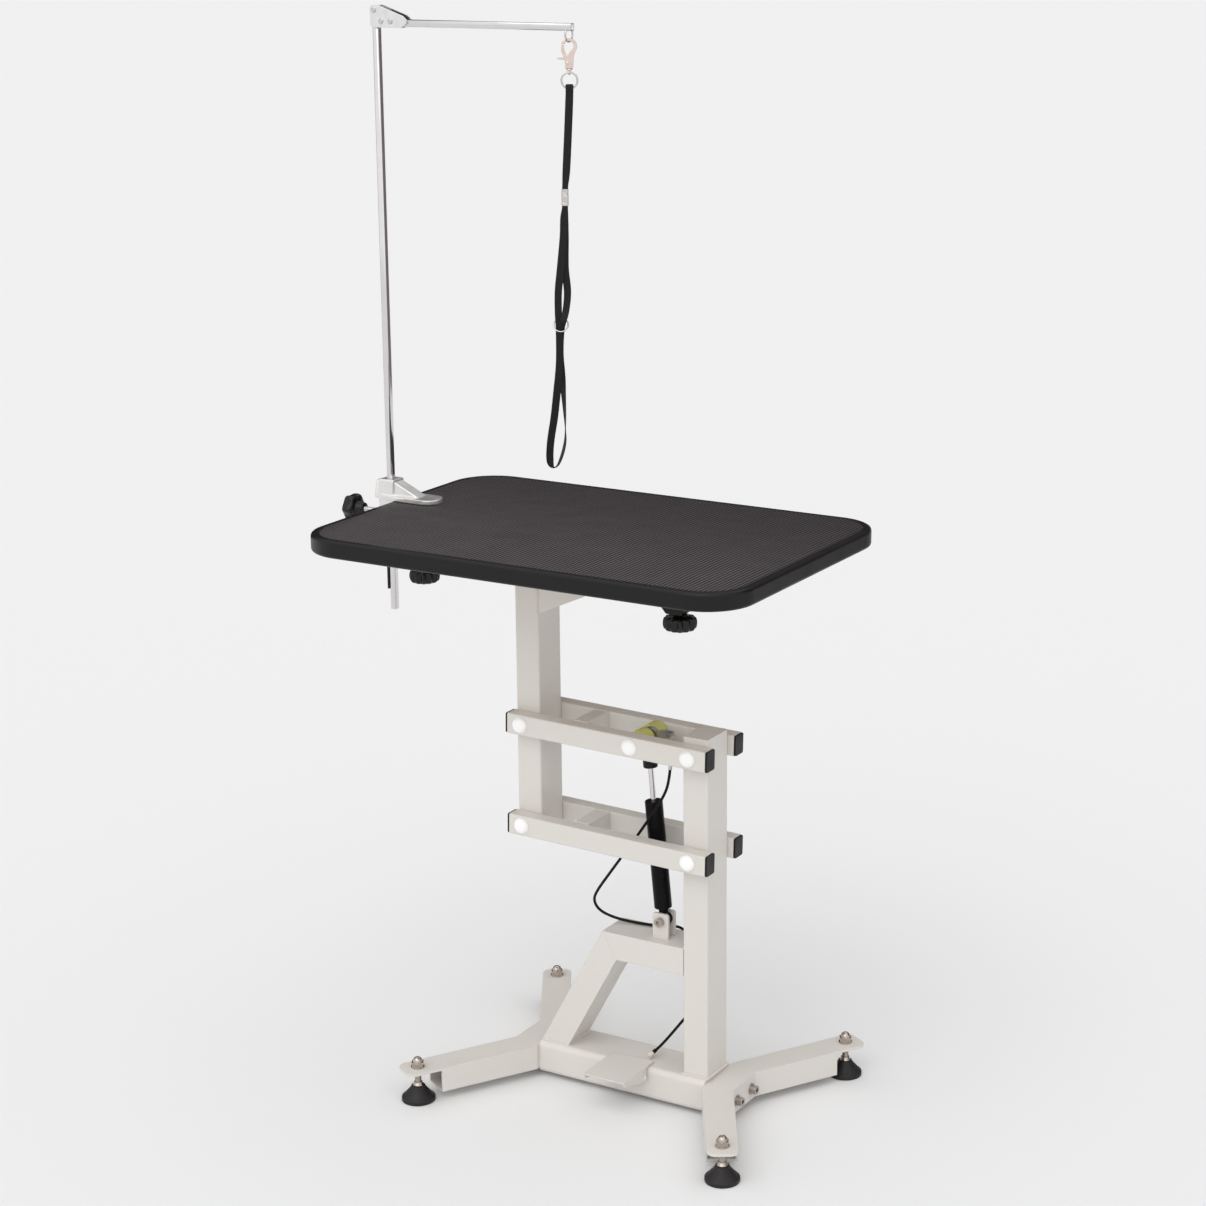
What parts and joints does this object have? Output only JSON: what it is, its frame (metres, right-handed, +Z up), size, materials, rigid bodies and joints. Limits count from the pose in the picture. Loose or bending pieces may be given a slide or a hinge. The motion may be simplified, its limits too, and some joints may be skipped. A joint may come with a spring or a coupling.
{
  "type": "grooming table",
  "caption": "Height-adjustable pet grooming table: ribbed rubber top on a gas-spring parallel lift with a release pedal, levelling feet and a clamp-on folding arm with a strap loop.",
  "frame": {"origin": "on the floor, under the middle of the whole object's box", "axes": "+Z up, +X along the long side of the tabletop towards the fixed column, +Y across it away from the pedal"},
  "size_m": [0.796, 0.48, 1.5695],
  "materials": {
    "frame_paint": "warm light grey powder coat, satin",
    "band_black": "moulded edge band, satin black",
    "mat_rubber": "ribbed anti-slip rubber, black",
    "board_wood": "raw fibreboard",
    "pad_rubber": "black rubber",
    "cap_white": "off-white domed cap, gloss",
    "end_black": "black moulded plastic",
    "sleeve_yellow": "yellow-green moulded spacer",
    "nickel": "bright nickel plate",
    "spring_black": "black gloss paint",
    "rod_chrome": "polished chrome",
    "zinc_grey": "zinc plated steel",
    "knob_black": "black moulded knob",
    "clamp_cast": "plated casting",
    "arm_chrome": "chromed square tube",
    "snap_nickel": "warm nickel plate",
    "strap_nylon": "black nylon webbing",
    "cable_sheath": "black cable sheath",
    "bolt_dark": "socket head bolt"
  },
  "bodies": {
    "base": {"base_beam": "frame_paint", "leg_left": "frame_paint", "leg_right": "frame_paint", "base_bolts": "bolt_dark", "foot_nuts": "nickel", "lower_column": "frame_paint", "brace_stub": "frame_paint", "brace_leg": "frame_paint", "spring_clevis": "frame_paint", "spring_cylinder": "spring_black", "release_cable": "cable_sheath"},
    "upper_link": {"upper_bar_front": "frame_paint", "upper_bar_rear": "frame_paint", "upper_cross_tube": "frame_paint", "upper_end_caps": "end_black", "upper_pins": "zinc_grey", "upper_pin_caps": "cap_white", "pin_sleeves": "sleeve_yellow"},
    "lower_link": {"lower_bar_front": "frame_paint", "lower_bar_rear": "frame_paint", "lower_cross_tube": "frame_paint", "lower_end_caps": "end_black", "lower_pins": "zinc_grey", "lower_pin_caps": "cap_white"},
    "lift": {"upper_column": "frame_paint", "top_beam": "frame_paint", "top_rails": "frame_paint", "lock_bracket": "end_black", "edge_band": "band_black", "table_board": "board_wood", "table_mat": "mat_rubber", "clamp_body": "clamp_cast"},
    "rod": {"spring_rod": "rod_chrome", "rod_boot": "end_black", "release_head": "zinc_grey"},
    "lever": {"release_lever": "zinc_grey"},
    "pedal": {"pedal": "frame_paint"},
    "lock_knob": {"lock_knob": "knob_black"},
    "clamp_screw": {"clamp_screw": "knob_black"},
    "post_knob": {"post_knob": "knob_black"},
    "post": {"arm_post": "arm_chrome"},
    "boom": {"knuckle": "arm_chrome", "arm_boom": "arm_chrome", "knuckle_rivets": "nickel"},
    "hook": {"hook_ring": "nickel", "snap_body": "snap_nickel"},
    "trigger": {"snap_trigger": "snap_nickel"},
    "strap": {"swivel_eye": "snap_nickel", "o_ring": "nickel", "strap": "strap_nylon", "strap_ferrule": "nickel"},
    "slider": {"strap_slider": "nickel"},
    "foot_front_left": {"foot_pad_front_left": "pad_rubber", "foot_stud_front_left": "nickel"},
    "foot_front_right": {"foot_pad_front_right": "pad_rubber", "foot_stud_front_right": "nickel"},
    "foot_rear_left": {"foot_pad_rear_left": "pad_rubber", "foot_stud_rear_left": "nickel"},
    "foot_rear_right": {"foot_pad_rear_right": "pad_rubber", "foot_stud_rear_right": "nickel"}
  },
  "joints": [
    {"name": "lift_swing", "type": "hinge", "parent": "base", "child": "upper_link", "pos_m": [0.232, 0, 0.551], "axis": [0, 1, 0], "range_deg": [-18, 18]},
    {"name": "lower_swing", "type": "hinge", "parent": "base", "child": "lower_link", "pos_m": [0.232, 0, 0.396], "axis": [0, 1, 0], "range_deg": [-18.5, 18.5]},
    {"name": "lift_level", "type": "hinge", "parent": "upper_link", "child": "lift", "pos_m": [-0.046, 0, 0.55731], "axis": [0, 1, 0], "range_deg": [-18.5, 18.5]},
    {"name": "rod_slide", "type": "slide", "parent": "base", "child": "rod", "axis": [-0.0944, 0, 0.9955], "range_m": [-0.03, 0.03], "deforming": ["release_cable"]},
    {"name": "lever_turn", "type": "hinge", "parent": "rod", "child": "lever", "pos_m": [0.16, 0, 0.56113], "axis": [0, 1, 0], "range_deg": [0, 12.5]},
    {"name": "pedal_press", "type": "hinge", "parent": "base", "child": "pedal", "pos_m": [0.1225, -0.047, 0.044], "axis": [1, 0, 0], "range_deg": [0, 12], "stiffness_Nm_per_rad": 0.6, "springref_deg": -20.05},
    {"name": "lock_knob_turn", "type": "hinge", "parent": "lift", "child": "lock_knob", "pos_m": [0.191, 0, 0.731], "axis": [0, 0, 1], "continuous": true},
    {"name": "clamp_screw_turn", "type": "hinge", "parent": "lift", "child": "clamp_screw", "pos_m": [-0.262, 0.025, 0.736], "axis": [0, 0, 1], "continuous": true},
    {"name": "post_knob_turn", "type": "hinge", "parent": "lift", "child": "post_knob", "pos_m": [-0.397, 0.025, 0.827], "axis": [1, 0, 0], "continuous": true},
    {"name": "post_slide", "type": "slide", "parent": "lift", "child": "post", "axis": [0, 0, 1], "range_m": [-0.06, 0.1]},
    {"name": "boom_fold", "type": "hinge", "parent": "post", "child": "boom", "pos_m": [-0.318, 0.025, 1.5625], "axis": [0, -1, 0], "range_deg": [0, 90]},
    {"name": "hook_swing", "type": "hinge", "parent": "boom", "child": "hook", "pos_m": [0.004, 0.025, 1.5426], "axis": [0, 1, 0], "range_deg": [-60, 25]},
    {"name": "trigger_press", "type": "hinge", "parent": "hook", "child": "trigger", "pos_m": [0.00227, 0.024, 1.4967], "axis": [-0.5, 0.866, 0], "range_deg": [0, 14], "stiffness_Nm_per_rad": 0.01, "springref_deg": -17.19},
    {"name": "strap_turn", "type": "hinge", "parent": "hook", "child": "strap", "pos_m": [0.004, 0.025, 1.489], "axis": [0, 0, 1], "continuous": true},
    {"name": "slider_slide", "type": "slide", "parent": "strap", "child": "slider", "axis": [0, 0, 1], "range_m": [-0.045, 0]},
    {"name": "foot_front_left_turn", "type": "hinge", "parent": "base", "child": "foot_front_left", "pos_m": [-0.145, -0.194, 0.012], "axis": [0, 0, 1], "continuous": true},
    {"name": "foot_front_right_turn", "type": "hinge", "parent": "base", "child": "foot_front_right", "pos_m": [0.366, -0.194, 0.012], "axis": [0, 0, 1], "continuous": true},
    {"name": "foot_rear_left_turn", "type": "hinge", "parent": "base", "child": "foot_rear_left", "pos_m": [-0.145, 0.194, 0.012], "axis": [0, 0, 1], "continuous": true},
    {"name": "foot_rear_right_turn", "type": "hinge", "parent": "base", "child": "foot_rear_right", "pos_m": [0.366, 0.194, 0.012], "axis": [0, 0, 1], "continuous": true}
  ],
  "couplings": [
    {"joint": "lower_swing", "follows": "lift_swing", "ratio": 1},
    {"joint": "lift_level", "follows": "lift_swing", "ratio": -1},
    {"joint": "rod_slide", "follows": "lift_swing", "m_per_rad": 0.092},
    {"joint": "lever_turn", "follows": "pedal_press", "ratio": 1}
  ]
}
